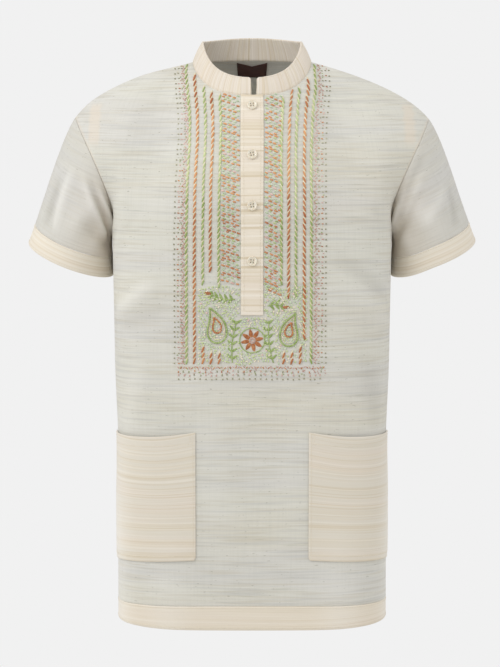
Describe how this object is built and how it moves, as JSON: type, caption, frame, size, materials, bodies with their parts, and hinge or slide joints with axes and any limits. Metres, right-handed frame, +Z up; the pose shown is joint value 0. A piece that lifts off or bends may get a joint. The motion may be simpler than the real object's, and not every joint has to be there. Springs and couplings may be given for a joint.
{
  "type": "short-sleeved fatua shirt",
  "caption": "Loose short-sleeved cotton fatua with a band collar, half placket, patch pockets and cream bands, in the hollow form it has when worn.",
  "frame": {"origin": "the middle of the neck, level with the top of the back neck seam, where the wearer's shoulders hold the shirt up", "axes": "+Z up, +X to the wearer's left, +Y to the wearer's back, so that the front faces -Y"},
  "size_m": [0.6136, 0.2474, 0.792],
  "materials": {
    "slub_cotton": "handloom slub cotton, pale grey-green with uneven beige and blue-grey weft bars",
    "cream_cotton": "cream handloom cotton with fine ochre weft bars",
    "pearl_button": "polished pearly off-white",
    "label_satin": "near-black woven satin, bare",
    "embroidery_thread": "stranded cotton in leaf green, rust orange, rose brown and grey-green",
    "sewing_thread": "cream sewing cotton"
  },
  "bodies": {
    "root": {"front": "slub_cotton", "back": "slub_cotton", "sleeve_left": "slub_cotton", "sleeve_right": "slub_cotton", "cuff_band_left": "cream_cotton", "cuff_band_right": "cream_cotton", "hem_band_front": "cream_cotton", "hem_band_back": "cream_cotton", "collar": "cream_cotton", "placket": "cream_cotton", "pocket_left": "cream_cotton", "pocket_right": "cream_cotton", "button_1": "pearl_button", "button_2": "pearl_button", "button_3": "pearl_button", "button_4": "pearl_button", "neck_label": "label_satin"}
  },
  "joints": []
}
